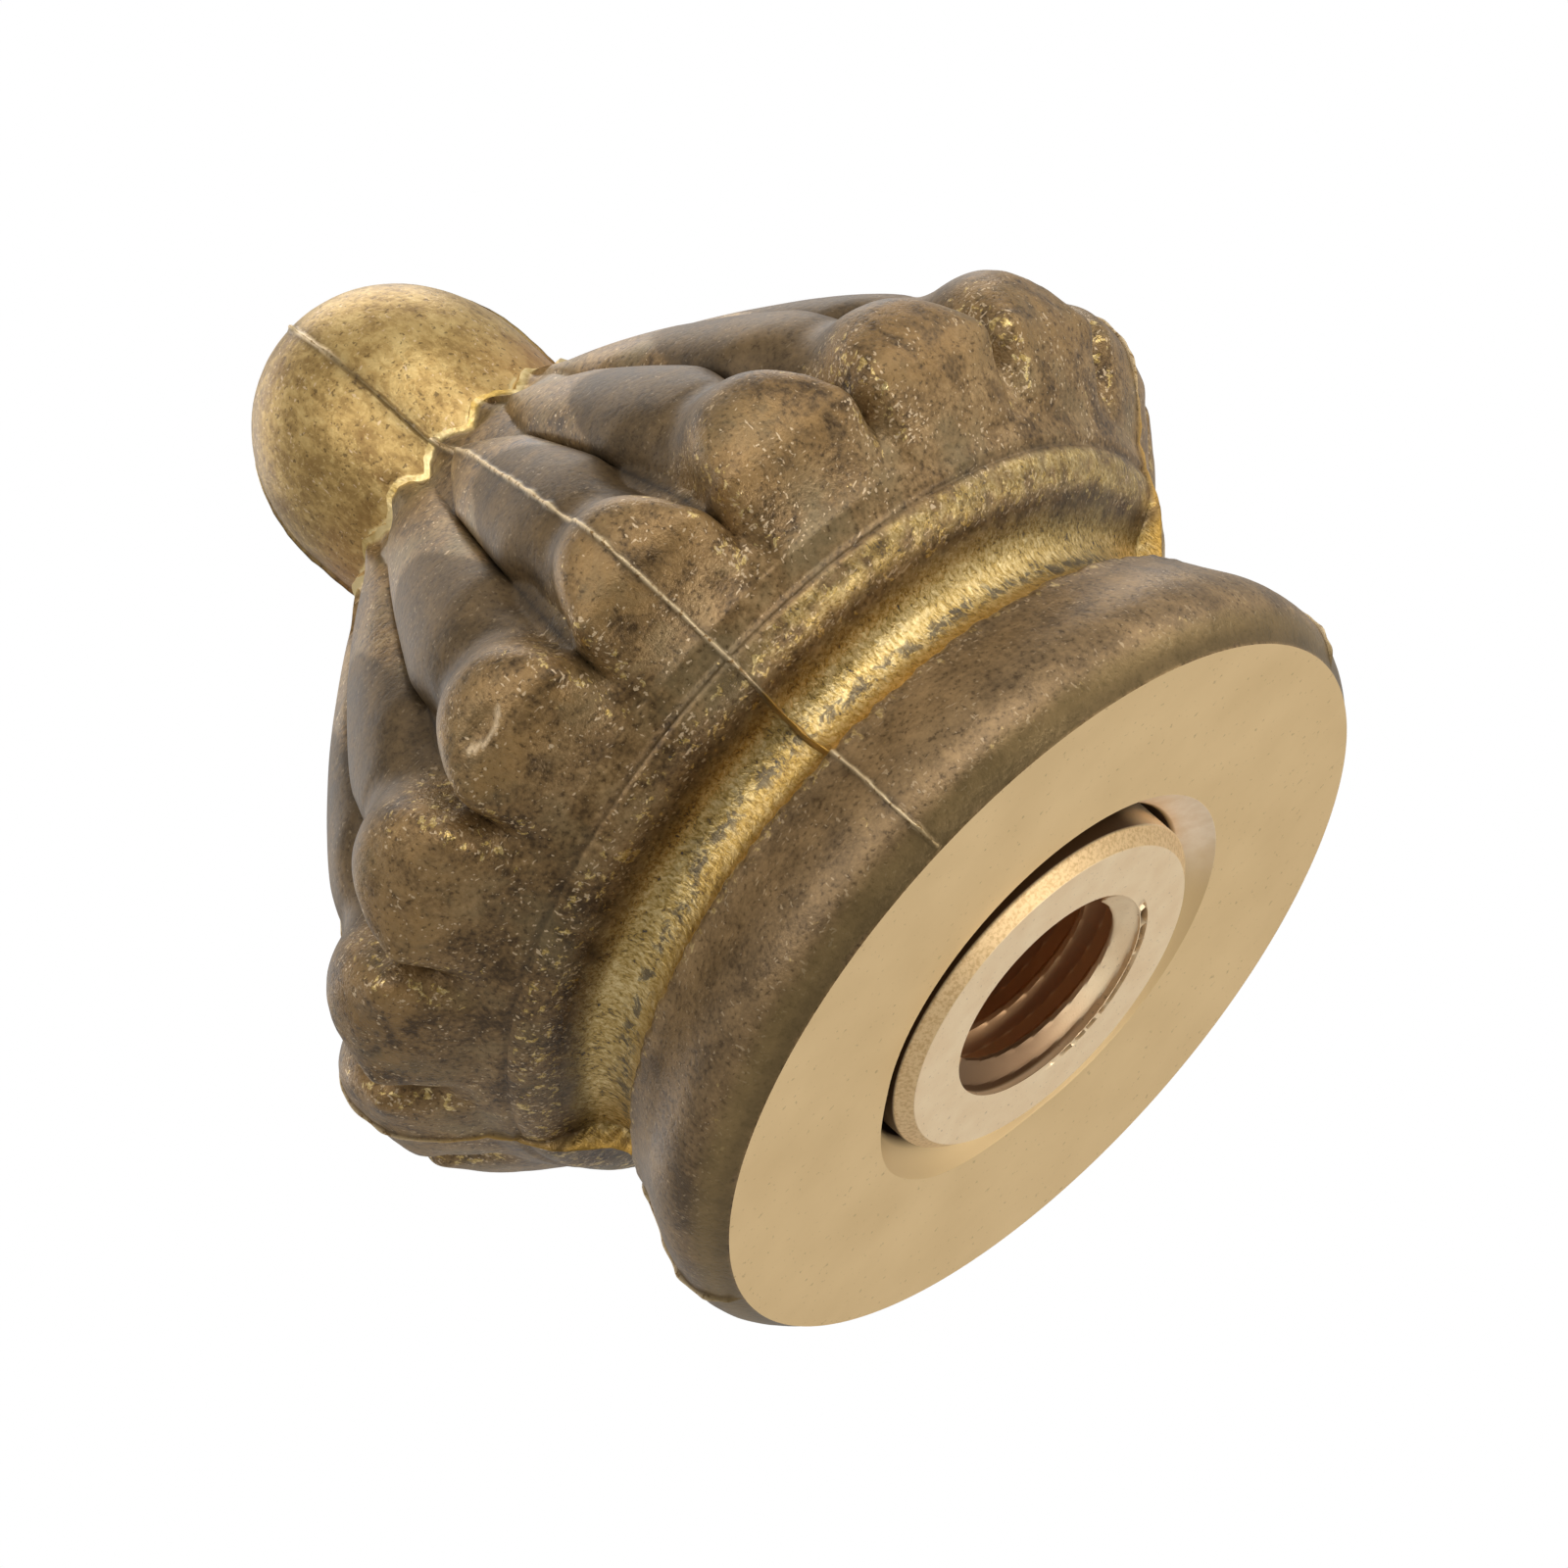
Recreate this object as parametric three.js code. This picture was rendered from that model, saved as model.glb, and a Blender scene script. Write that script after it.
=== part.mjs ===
// A cast brass finial with a machined threaded insert in its base.
//
// The finial stands upright. The origin is the centre of the insert's end face, which is the face that
// seats on the rod's shoulder, and +Z runs along the axis towards the ball at the tip.
// All lengths are millimetres.

import * as THREE from 'three';

// Driving dimensions
const INSERT_PROUD = 0.35;          // how far the insert stands out of the casting's base
const BASE_RADIUS = 9.8;            // flat machined face of the base disc
const DISC_RADIUS = 10.46;          // widest point of the base disc
const LOBE_RADIUS = 12.4;           // widest point of the gadrooned body, on a lobe's foot
const BALL_RADIUS = 3.54;
const BALL_CENTRE_Z = 20.68;
const TIP_Z = 24.6;

// The lobes (gadroons) and their feet
const LOBES = 16;
const LOBES_BOTTOM_Z = 7.85;
const LOBES_TOP_Z = 18.77;
const VALLEY_DEPTH = 1.45;          // how deep the valleys between the lobes are cut, near their feet
const VALLEY_RUN_IN = 1.1;          // height over which a valley reaches its depth
const SEGMENTS_PER_LOBE = 6;

// The threaded insert: 1/4-27 UNS, drawn at its minor diameter
const THREAD_MINOR_RADIUS = 2.69;
const INSERT_RADIUS = 4.65;
const INSERT_LENGTH = 8.3;
const OUTER_CHAMFER = 0.45;
const INNER_CHAMFER = 0.35;

// The socket in the casting
const SOCKET_RADIUS = 4.69;
const SOCKET_END_Z = 8.65;
const MOUTH_RADIUS = 4.8;
const MOUTH_END_Z = 2.0;
const COUNTERSINK_RADIUS = 5.5;
const COUNTERSINK_DEPTH = 0.18;
const DRILL_RADIUS = 2.6;
const DRILL_TIP_Z = 10.1;

const SEGMENTS = LOBES * SEGMENTS_PER_LOBE;

// A solid of revolution about Z. The outline is a list of (radius, height) points.
function revolve(outline) {
  const geometry = new THREE.LatheGeometry(outline, SEGMENTS);
  geometry.rotateX(Math.PI / 2);
  return geometry;
}

// Points along a cubic curve that starts where the outline has got to; the start itself is left out.
function curveOn(outline, controlA, controlB, end, steps) {
  const start = outline[outline.length - 1];
  const curve = new THREE.CubicBezierCurve(
    start,
    new THREE.Vector2(...controlA),
    new THREE.Vector2(...controlB),
    new THREE.Vector2(...end),
  );
  outline.push(...curve.getPoints(steps).slice(1));
}

// Upper part of the outline: the ball. Its lower side is nearly straight, and it is a little longer than
// it is wide above its middle, where it closes on the axis.
function ballOn(outline, steps) {
  curveOn(outline, [3.5, 19.4], [BALL_RADIUS, 19.9], [BALL_RADIUS, BALL_CENTRE_Z], 2);
  for (let i = 1; i < steps; i++) {
    const angle = (Math.PI / 2) * (i / steps);
    outline.push(new THREE.Vector2(
      BALL_RADIUS * Math.cos(angle),
      BALL_CENTRE_Z + (TIP_Z - BALL_CENTRE_Z) * Math.sin(angle),
    ));
  }
  outline.push(new THREE.Vector2(0, TIP_Z));
}

// The casting's outline over the crest of a lobe, from the drill point inside to the tip of the ball.
function castingOutline() {
  const point = (radius, height) => new THREE.Vector2(radius, height);
  const outline = [
    point(0, DRILL_TIP_Z),
    point(DRILL_RADIUS, SOCKET_END_Z),
    point(SOCKET_RADIUS, SOCKET_END_Z),
    point(SOCKET_RADIUS, MOUTH_END_Z),
    point(MOUTH_RADIUS, MOUTH_END_Z),
    point(MOUTH_RADIUS, INSERT_PROUD + COUNTERSINK_DEPTH),
    point(COUNTERSINK_RADIUS, INSERT_PROUD),
    point(BASE_RADIUS, INSERT_PROUD),
  ];
  // base disc: a tight turn off the flat, then a side that leans in towards its upper edge
  curveOn(outline, [10.2, INSERT_PROUD], [DISC_RADIUS, 0.94], [DISC_RADIUS, 1.53], 3);
  curveOn(outline, [DISC_RADIUS, 2.51], [9.65, 3.29], [9.5, 4.22], 4);
  // groove round the waist
  curveOn(outline, [9.0, 4.4], [8.48, 4.4], [8.48, 4.81], 2);
  curveOn(outline, [8.48, 5.25], [8.82, 5.64], [9.6, 5.89], 2);
  // collar
  curveOn(outline, [10.39, 6.23], [10.54, 7.21], [10.83, 7.65], 3);
  outline.push(point(11.03, LOBES_BOTTOM_Z));
  // rounded foot of a lobe, up to the notch above it
  curveOn(outline, [11.76, 8.58], [LOBE_RADIUS, 9.27], [LOBE_RADIUS, 10.15], 4);
  curveOn(outline, [LOBE_RADIUS, 11.03], [11.76, 11.82], [10.53, 12.31], 4);
  // the lobe's back, up to its tip against the ball
  curveOn(outline, [9.55, 14.27], [6.37, 16.81], [3.6, LOBES_TOP_Z], 7);
  ballOn(outline, 6);
  return outline;
}

// How deep the valleys are at a given height; nothing below the feet or above the lobes' tips.
function valleyDepth(height) {
  if (height <= LOBES_BOTTOM_Z || height >= LOBES_TOP_Z) {
    return 0;
  }
  const runIn = Math.min(1, (height - LOBES_BOTTOM_Z) / VALLEY_RUN_IN);
  const share = (height - LOBES_BOTTOM_Z) / (LOBES_TOP_Z - LOBES_BOTTOM_Z);
  return VALLEY_DEPTH * Math.sqrt(runIn) * Math.sqrt(1 - share);
}

// Presses the valleys into the revolved casting. A lobe's cross-section is half an ellipse.
function pressLobes(geometry) {
  const position = geometry.getAttribute('position');
  const pitch = (2 * Math.PI) / LOBES;
  for (let i = 0; i < position.count; i++) {
    const x = position.getX(i);
    const y = position.getY(i);
    const depth = valleyDepth(position.getZ(i));
    const radius = Math.hypot(x, y);
    const inSocket = position.getZ(i) <= DRILL_TIP_Z && radius < MOUTH_RADIUS;
    if (depth > 0 && !inSocket) {
      const turns = Math.atan2(x, -y) / pitch;
      const across = 2 * Math.abs(turns - Math.round(turns));
      const section = Math.sqrt(Math.max(0, 1 - across * across));
      const scale = (radius - depth * (1 - section)) / radius;
      position.setX(i, x * scale);
      position.setY(i, y * scale);
    }
  }
  return geometry;
}

function castBody() {
  const geometry = pressLobes(revolve(castingOutline()));
  const material = new THREE.MeshStandardMaterial({ color: 0x85704f, roughness: 0.45, metalness: 0.9 });
  const mesh = new THREE.Mesh(geometry, material);
  mesh.name = 'cast_body';
  return mesh;
}

function threadedInsert() {
  const outline = [
    [THREAD_MINOR_RADIUS + INNER_CHAMFER, 0],
    [INSERT_RADIUS - OUTER_CHAMFER, 0],
    [INSERT_RADIUS, OUTER_CHAMFER],
    [INSERT_RADIUS, INSERT_LENGTH],
    [THREAD_MINOR_RADIUS, INSERT_LENGTH],
    [THREAD_MINOR_RADIUS, INNER_CHAMFER],
    [THREAD_MINOR_RADIUS + INNER_CHAMFER, 0],
  ].map(([radius, height]) => new THREE.Vector2(radius, height));
  const material = new THREE.MeshStandardMaterial({ color: 0xc6af8f, roughness: 0.3, metalness: 0.95 });
  const mesh = new THREE.Mesh(revolve(outline), material);
  mesh.name = 'threaded_insert';
  return mesh;
}

const finial = new THREE.Group();
finial.add(castBody());
finial.add(threadedInsert());

export default finial;
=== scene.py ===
"""Looks of a cast brass finial with a machined threaded insert.

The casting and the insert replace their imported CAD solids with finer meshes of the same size. The casting's
outline is given in base radii above its flat base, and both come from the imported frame. Lengths are metres.
"""

import math
from types import SimpleNamespace

import bpy
import numpy as np
from mathutils import Matrix, Vector, noise


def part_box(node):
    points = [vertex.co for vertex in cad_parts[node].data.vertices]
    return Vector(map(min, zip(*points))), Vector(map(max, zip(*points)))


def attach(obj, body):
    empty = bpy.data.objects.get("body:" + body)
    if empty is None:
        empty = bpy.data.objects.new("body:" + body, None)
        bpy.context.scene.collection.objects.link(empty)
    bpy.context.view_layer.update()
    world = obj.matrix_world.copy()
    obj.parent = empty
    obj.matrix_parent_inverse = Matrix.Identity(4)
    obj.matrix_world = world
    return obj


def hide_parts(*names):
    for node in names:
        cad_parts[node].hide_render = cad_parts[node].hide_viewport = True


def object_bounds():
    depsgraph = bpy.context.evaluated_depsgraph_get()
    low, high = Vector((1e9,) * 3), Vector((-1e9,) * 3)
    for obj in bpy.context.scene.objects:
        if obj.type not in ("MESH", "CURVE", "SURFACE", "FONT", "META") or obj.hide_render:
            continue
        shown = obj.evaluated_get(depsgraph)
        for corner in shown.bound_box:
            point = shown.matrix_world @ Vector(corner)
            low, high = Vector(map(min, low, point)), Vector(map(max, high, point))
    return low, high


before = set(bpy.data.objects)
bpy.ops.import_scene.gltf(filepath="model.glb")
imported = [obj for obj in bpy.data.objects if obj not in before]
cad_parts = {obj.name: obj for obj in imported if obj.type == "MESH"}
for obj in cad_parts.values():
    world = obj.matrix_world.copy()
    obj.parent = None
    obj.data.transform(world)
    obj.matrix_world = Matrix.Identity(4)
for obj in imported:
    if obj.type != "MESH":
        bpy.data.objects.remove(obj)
cad_low, cad_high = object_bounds()

# -------- sizes taken from the frame
MM = 0.001
body_low, body_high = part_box("cast_body")
insert_low, insert_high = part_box("threaded_insert")
BASE_Z = body_low.z  # the casting's flat base
FOOT_RADIUS = 1.265  # a lobe's foot, in base radii
R = body_high.x / FOOT_RADIUS  # the base radius, the unit of the outline below
PAST_TIP = 0.012  # the ball's tip is a hair past the CAD solid's
TIP = (body_high.z - BASE_Z) / R + PAST_TIP
INSERT_RADIUS = insert_high.x
INSERT_LENGTH = insert_high.z - insert_low.z

# -------- the casting's form, in base radii
LOBES = 16
PITCH = 2 * math.pi / LOBES
SINK_RADIUS = 0.535  # the shallow countersink round the insert
SINK_DEPTH = 0.062
SINK_SHIFT, SINK_TOWARDS = 0.040, 120.0  # it is cut off centre, towards this azimuth in degrees
SINK_WIDER = 0.055  # and is wider again in one place
SOCKET_MOUTH = 0.490
BALL_RADIUS = 0.357
BALL_CENTRE = 2.075
BALL_LEAN = 0.009  # the ball sits a little to one side
DISC_LEAN = 0.007  # and the disc's upper edge a little to the other
COLUMNS_PER_LOBE = 46
PARTING_COLUMNS = (0.09, 0.18, 0.28, 0.40, 0.55, 0.75, 1.00, 1.35)  # beside a parting line, in degrees
# the floor of the valleys between the lobes: (height, radius)
VALLEY = ((0.750, 1.103), (0.800, 1.128), (0.860, 1.140), (0.940, 1.134), (1.020, 1.102), (1.100, 1.052),
          (1.180, 0.998), (1.260, 0.943), (1.350, 0.877), (1.500, 0.742), (1.620, 0.636), (1.720, 0.545),
          (1.800, 0.468), (1.866, 0.392))
LEAF_ROUND = 0.175  # how far below its tip a leaf starts to narrow
# the height of each leaf's tip, and how much higher than usual each foot's top is, from -Y round towards +X
LEAF_TIPS = np.array((1.782, 1.800, 1.835, 1.790, 1.820, 1.800, 1.780, 1.815,
                      1.790, 1.830, 1.805, 1.785, 1.820, 1.795, 1.860, 1.930))
FOOT_LIFT = np.array((0.000, 0.012, -0.008, 0.010, -0.004, 0.012, 0.000, -0.010,
                      0.008, 0.000, 0.012, -0.008, 0.004, -0.010, 0.010, -0.006))
# how much higher the dark tongue reaches on one side of each lobe than on the other
TONGUE_TILT = np.array((0.000, 0.055, -0.030, 0.025, 0.010, -0.020, 0.030, -0.010,
                        0.020, -0.030, 0.015, 0.030, -0.020, 0.020, -0.030, -0.055))
# the thin flash that fills the groove at the parting lines: (height, radius)
FLASH = ((0.355, 0.955), (0.400, 0.928), (0.450, 0.925), (0.500, 0.938), (0.550, 0.984), (0.600, 1.030),
         (0.660, 1.062), (0.740, 1.096))
# dents: (azimuth in degrees, height, half width, half height, depth)
DENTS = ((-23.5, 0.985, 0.076, 0.036, 0.0150), (-23.0, 0.832, 0.030, 0.028, 0.0070),
         (-59.0, 0.930, 0.040, 0.022, 0.006), (-3.0, 0.990, 0.016, 0.010, 0.004),
         (21.5, 0.985, 0.014, 0.012, 0.004), (61.0, 0.960, 0.035, 0.022, 0.005),
         (112.0, 0.900, 0.045, 0.030, 0.006), (158.0, 1.020, 0.030, 0.024, 0.006),
         (-131.0, 0.950, 0.040, 0.028, 0.006))

# -------- the socket behind the insert
SOCKET_GAP = 0.04 * MM  # round the insert, as in the CAD
STEP_GAP = 0.15 * MM  # the socket is slightly wider up to STEP_TOP
STEP_TOP = 2.0 * MM  # this and the next two are heights above the insert's face
SOCKET_TOP = 8.65 * MM
DRILL_POINT = 10.1 * MM
DRILL_RADIUS = 2.6 * MM

# -------- the threaded insert
THREAD_PITCH = 0.94 * MM
THREAD_MINOR = 2.40 * MM
THREAD_DEPTH = 0.50 * MM
THREAD_START = 66.0  # azimuth where the first crest begins, in degrees
FIRST_CREST = 0.35 * MM  # how deep the first crest lies at FIRST_AZIMUTH
FIRST_AZIMUTH = 100  # in degrees
MOUTH = 2.88 * MM
CHAMFER = 0.36 * MM
INSERT_COLUMNS = 300
THREAD_RINGS = 230
# the torn burr round part of the mouth: how far outside it each ring lies, and how deep, in millimetres
BURR = ((0.24, 0.0), (0.20, 0.26), (0.07, 0.24), (0.02, 0.0), (0.0, 0.01))


# -------- curves, ramps and noise
def bezier(start, control_a, control_b, end, steps):
    """Points along a cubic curve, its start left out."""
    t = np.linspace(0, 1, steps + 1)[1:, None]
    a, b, c, d = (np.array(p, float) for p in (start, control_a, control_b, end))
    return (1 - t) ** 3 * a + 3 * (1 - t) ** 2 * t * b + 3 * (1 - t) * t * t * c + t ** 3 * d


def line(start, end, steps):
    """Evenly spaced points along a line, its start left out."""
    t = np.linspace(0, 1, steps + 1)[1:, None]
    return np.array(start, float) * (1 - t) + np.array(end, float) * t


def smooth(x, low, high):
    """0 below low, 1 above high and an S-shaped ramp between."""
    t = np.clip((x - low) / (high - low), 0, 1)
    return t * t * (3 - 2 * t)


def window(x, low, low_full, high_full, high):
    """0 outside low to high, and 1 between the two full values."""
    return smooth(x, low, low_full) * (1 - smooth(x, high_full, high))


def bell(x, width):
    """1 where x is 0, and falling off on both sides over about the width."""
    return np.exp(-(x / width) ** 2)


def through(points, x):
    """A smooth curve through (x, y) points, flat beyond its ends."""
    px, py = (np.array(column) for column in zip(*points))
    slope = np.gradient(py, px)
    slope[0] = slope[-1] = 0
    i = np.clip(np.searchsorted(px, x, side="right") - 1, 0, len(px) - 2)
    width = px[i + 1] - px[i]
    t = np.clip((x - px[i]) / width, 0, 1)
    rise = t * t * (3 - 2 * t)
    return (py[i] * (1 - rise) + py[i + 1] * rise
            + width * t * (1 - t) * (slope[i] * (1 - t) - slope[i + 1] * t))


def noise_at(points, size, shift=0.0):
    """Smooth noise from about -1 to 1 at each point; size is the width of a bump in the points' own unit."""
    moved = Vector((shift, shift * 0.37, -shift))
    return np.array([noise.noise(Vector(p) / size + moved) for p in points])


def around_circle(azimuth):
    """Points round a circle of radius 1, for noise that joins up with itself."""
    return np.stack([np.sin(azimuth), np.cos(azimuth), 0 * azimuth], 1)


def ring(radius, z, azimuth):
    """A level ring of points; azimuth 0 is towards -Y and 90 degrees towards +X."""
    return np.stack([radius * np.sin(azimuth), -radius * np.cos(azimuth), np.full(azimuth.shape, z)], -1)


# -------- meshes
def grid_mesh(name, points, cap_start=None, cap_end=None, joined=False):
    """A closed mesh from rings of points, with a fan to a point at each end or joined end to end."""
    rings, cols = points.shape[:2]
    verts = points.reshape(-1, 3)
    index = np.arange(rings * cols).reshape(rings, cols)
    low = index if joined else index[:-1]
    high = np.roll(index, -1, 0) if joined else index[1:]
    quads = np.stack([low, np.roll(low, -1, 1), np.roll(high, -1, 1), high], -1).reshape(-1, 4)
    tris = np.zeros((0, 3), int)
    for cap, edge, flipped in ((cap_start, index[0], True), (cap_end, index[-1], False)):
        if cap is None:
            continue
        verts = np.concatenate([verts, np.array([cap], float)])
        pair = (np.roll(edge, -1), edge) if flipped else (edge, np.roll(edge, -1))
        fan = np.stack([*pair, np.full(cols, len(verts) - 1)], -1)
        tris = np.concatenate([tris, fan])
    mesh = bpy.data.meshes.new(name)
    mesh.vertices.add(len(verts))
    mesh.vertices.foreach_set("co", verts.astype(np.float32).ravel())
    loops = np.concatenate([quads.ravel(), tris.ravel()]).astype(np.int32)
    mesh.loops.add(len(loops))
    mesh.loops.foreach_set("vertex_index", loops)
    starts = np.concatenate([np.arange(len(quads)) * 4, quads.size + np.arange(len(tris)) * 3])
    mesh.polygons.add(len(starts))
    mesh.polygons.foreach_set("loop_start", starts.astype(np.int32))
    mesh.update(calc_edges=True)
    mesh.shade_smooth()
    return mesh


def set_mask(mesh, name, values, at_caps=0.0):
    """Stores a number for each vertex, for the material to read."""
    data = np.full(len(mesh.vertices), at_caps, np.float32)
    data[:values.size] = values.ravel()
    mesh.attributes.new(name, "FLOAT", "POINT").data.foreach_set("value", data)


def link(name, mesh):
    obj = bpy.data.objects.new(name, mesh)
    bpy.context.scene.collection.objects.link(obj)
    return obj


# -------- the casting's shape
def casting_outline():
    """The outline over a lobe's crest, from the socket's mouth to the ball's tip.

    Returns (radius, height) points and the name of the zone that each belongs to.
    """
    points, zones = [(SOCKET_MOUTH, 0.180)], ["gap"]

    def add(zone, new):
        points.extend(tuple(p) for p in new)
        zones.extend([zone] * len(new))

    add("gap", line(points[-1], (SOCKET_MOUTH, SINK_DEPTH), 3))
    add("sink", line(points[-1], (SINK_RADIUS - 0.003, 0.003), 6))
    add("sink", line(points[-1], (SINK_RADIUS, 0.000), 1))
    add("flat", line(points[-1], (SINK_RADIUS + 0.002, 0.000), 1))
    add("flat", line(points[-1], (1.001, 0.000), 14))
    add("disc", line(points[-1], (1.005, 0.006), 1))
    add("disc", bezier(points[-1], (1.027, 0.034), (1.057, 0.066), (1.057, 0.122), 14))
    add("disc", bezier(points[-1], (1.057, 0.217), (0.989, 0.292), (0.964, 0.373), 26))
    add("disc", bezier(points[-1], (0.961, 0.385), (0.954, 0.390), (0.942, 0.393), 4))
    add("groove", bezier(points[-1], (0.900, 0.397), (0.880, 0.420), (0.874, 0.468), 14))
    add("groove", bezier(points[-1], (0.869, 0.512), (0.876, 0.540), (0.900, 0.566), 12))
    add("groove", bezier(points[-1], (0.915, 0.582), (0.940, 0.590), (0.962, 0.600), 8))
    add("collar", bezier(points[-1], (1.012, 0.620), (1.046, 0.640), (1.058, 0.682), 14))
    add("collar", bezier(points[-1], (1.054, 0.690), (1.060, 0.694), (1.074, 0.702), 5))
    add("collar", bezier(points[-1], (1.084, 0.718), (1.092, 0.735), (1.104, 0.752), 7))
    add("foot", bezier(points[-1], (1.122, 0.766), (1.150, 0.790), (1.180, 0.824), 10))
    add("foot", bezier(points[-1], (1.222, 0.872), (FOOT_RADIUS, 0.920), (FOOT_RADIUS, 1.000), 20))
    add("foot", bezier(points[-1], (FOOT_RADIUS, 1.104), (1.222, 1.148), (1.135, 1.180), 22))
    add("back", bezier(points[-1], (1.090, 1.200), (1.070, 1.222), (1.054, 1.262), 10))
    add("back", bezier(points[-1], (1.000, 1.370), (0.715, 1.668), (0.392, 1.866), 80))
    add("seam", line(points[-1], (0.393, 1.882), 3))
    add("seam", bezier(points[-1], (0.384, 1.888), (0.352, 1.884), (0.349, 1.890), 4))
    add("ball", bezier(points[-1], (0.348, 1.905), (0.351, 1.920), (0.354, 1.955), 7))
    add("ball", line(points[-1], (BALL_RADIUS, BALL_CENTRE), 6))
    turn = np.linspace(0, math.pi / 2, 30)[1:-1]
    across = BALL_RADIUS * np.cos(turn) ** 0.90
    add("ball", np.stack([across, BALL_CENTRE + (TIP - BALL_CENTRE) * np.sin(turn)], 1))
    return np.array(points), np.array(zones)


def columns():
    """Azimuths of the mesh's columns, closer together beside the four parting lines."""
    found = []
    for lobe in range(LOBES):
        steps = (np.arange(COLUMNS_PER_LOBE) / COLUMNS_PER_LOBE - 0.5) * PITCH
        if lobe % (LOBES // 4) == 0:
            extra = np.radians(np.array(PARTING_COLUMNS))
            steps = steps[np.abs(steps) > extra[-1] + np.radians(0.2)]
            steps = np.sort(np.concatenate([steps, -extra, [0.0], extra]))
        found.append(lobe * PITCH + steps)
    return np.concatenate(found)


def plain_form():
    """What is known of each point of the casting, by ring and column, before any lobe or detail."""
    outline, zones = casting_outline()
    azimuth = columns()
    shape = (len(outline), len(azimuth))
    form = SimpleNamespace(outline=outline, zones=zones, columns=azimuth)
    form.crest = np.broadcast_to(outline[:, :1], shape)
    form.height = np.broadcast_to(outline[:, 1:], shape)
    form.azimuth = np.broadcast_to(azimuth, shape)
    form.degrees = np.degrees(form.azimuth)
    form.zone = {name: np.broadcast_to((zones == name)[:, None], shape) for name in set(zones)}
    nearest = np.round(form.azimuth / PITCH)
    form.lobe = nearest.astype(int) % LOBES
    form.across = 2 * (form.azimuth / PITCH - nearest)  # across a lobe, from -1 to 1
    form.side = np.abs(form.across)
    form.on_lobe = form.zone["foot"] | form.zone["back"]
    form.is_cast = ~(form.zone["flat"] | form.zone["sink"] | form.zone["gap"])
    return form


def shape_lobes(form):
    """Sets the radius over lobes and valleys, and the lobes' section: 1 on top and 0 in a valley."""
    height, side = form.height, form.side
    upper = np.isin(form.zones, ("collar", "foot", "back"))

    def crest_at(z):
        return np.interp(z, form.outline[upper, 1], form.outline[upper, 0])

    # the crest outline is read lower down at a foot's lower corners and higher up beside its arched top
    corner = 0.060 * side ** 6 * window(height, 0.745, 0.80, 0.90, 1.00)
    own = np.sin(form.lobe * 2.4 + 0.7)  # each lobe's arch differs a little
    arch = (0.255 + 0.03 * own) * side ** 2.9 * window(height, 0.86, 0.99, 1.20, 1.36)
    lifted = FOOT_LIFT[form.lobe] * window(height, 0.90, 1.05, 1.20, 1.34)
    plateau = crest_at(height - corner + arch - lifted)
    valley = np.minimum(through(VALLEY, height), crest_at(height))

    # flat-topped with sloping sides at the foot, round up the back, ending in a rounded leaf
    shoulder = np.clip((1 - side) / 0.29, 0, 1)
    foot_section = (1 - (1 - shoulder) ** 2) * (1 - 0.10 * side ** 2)
    half = np.sqrt(np.clip((LEAF_TIPS[form.lobe] - height) / LEAF_ROUND, 0, 1))
    back_section = np.sqrt(np.clip(1 - (side / np.maximum(half, 1e-3)) ** 2.1, 0, 1))
    up = smooth(height, 1.02, 1.26)
    form.section = foot_section * (1 - up) + back_section * up
    risen = valley + np.clip(plateau - valley, 0, 1) * form.section
    form.radius = np.where(form.on_lobe, risen, form.crest)


def roughen_edges(form):
    """Scallops the seam where the lobes end on the ball, lowest at the valleys, and tears the disc's lip."""
    circle = around_circle(form.columns)
    by_ball = window(form.height, 1.80, 1.858, 1.892, 1.95) * (form.crest > 0.3)
    form.ragged = 0.011 * noise_at(circle, 0.12, 7.0) + 0.006 * noise_at(circle, 0.05, 3.0)
    form.height = form.height + (form.ragged + 0.016 - 0.040 * form.side ** 1.4) * by_ball
    torn = 0.009 * noise_at(circle, 0.09, 5.0) + 0.007 * noise_at(circle, 0.035, 2.0)
    form.height = form.height + torn * window(form.height, 0.361, 0.383, 0.395, 0.416)


def parting_noise(outline, quarter):
    """How each of the four parting lines wanders sideways and swells along its length."""
    path = np.stack([outline[:, 1] * 4, outline[:, 0] * 2, 0 * outline[:, 0]], 1)
    wander = np.zeros(quarter.shape)
    swell = np.zeros(quarter.shape)
    for number in range(4):
        here = quarter.astype(int) % 4 == number
        wander = np.where(here, noise_at(path, 1.0, 3.0 + number)[:, None], wander)
        swell = np.where(here, noise_at(path, 0.15, 9.0 + number)[:, None], swell)
    return wander, swell


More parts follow.
